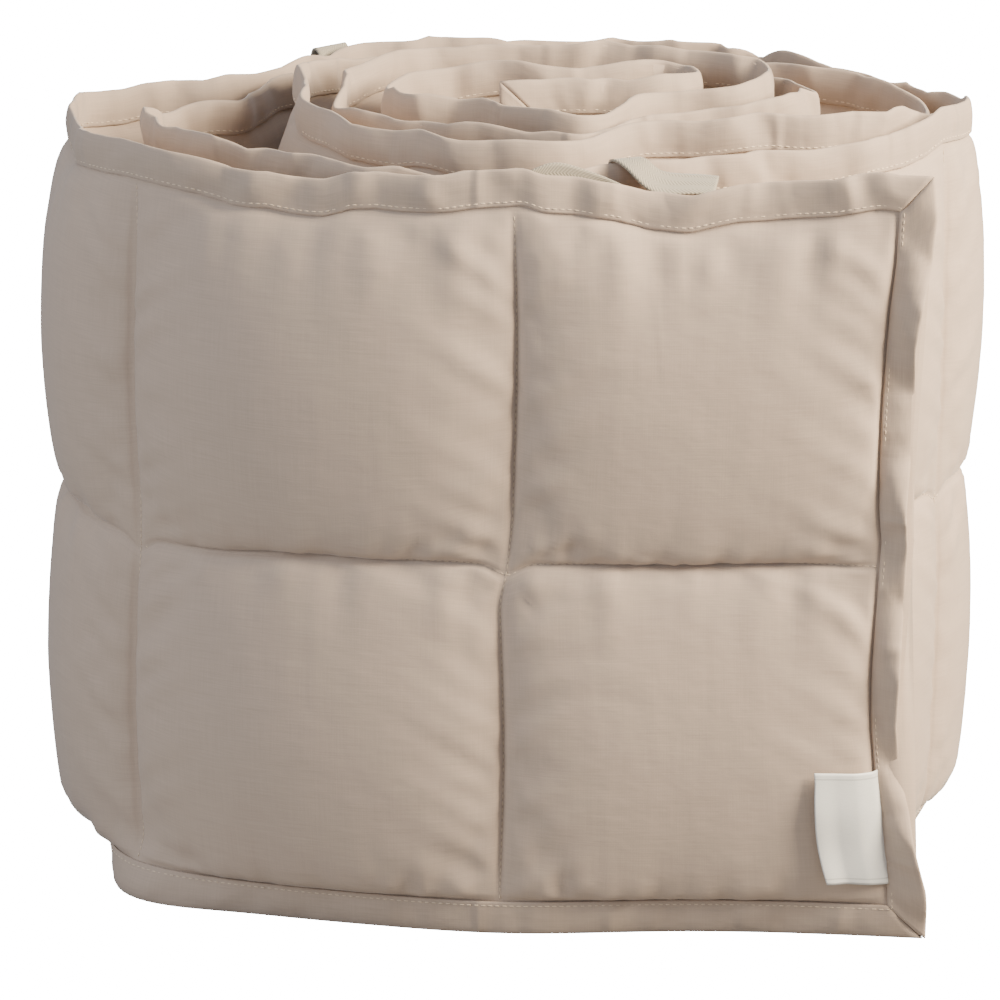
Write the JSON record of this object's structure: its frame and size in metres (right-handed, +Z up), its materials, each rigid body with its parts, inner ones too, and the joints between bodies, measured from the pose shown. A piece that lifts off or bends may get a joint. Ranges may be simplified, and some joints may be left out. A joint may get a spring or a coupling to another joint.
{
  "type": "crib bumper",
  "caption": "Padded crib bumper: a long quilted cotton strip with folded binding, loosely rolled into an oval and standing on its long edge.",
  "frame": {"origin": "on the surface that the roll stands on, below the middle of its box", "axes": "+Z up along the strip's height, +X along the roll's long side towards the free end, -Y out of the front panel"},
  "size_m": [0.3704, 0.266, 0.306],
  "materials": {
    "quilt_cotton": "fine plain-weave cotton, soft sheen",
    "binding_cotton": "folded cotton strip, topstitched",
    "tie_tape": "herringbone cotton tape",
    "label_satin": "bare satin label"
  },
  "bodies": {
    "root": {"quilt_panel": "quilt_cotton", "binding_top": "binding_cotton", "binding_bottom": "binding_cotton", "binding_outer_end": "binding_cotton", "binding_inner_end": "binding_cotton", "tie_loop": "tie_tape", "tie_strap": "tie_tape", "tie_back": "tie_tape", "side_label": "label_satin"}
  },
  "joints": []
}
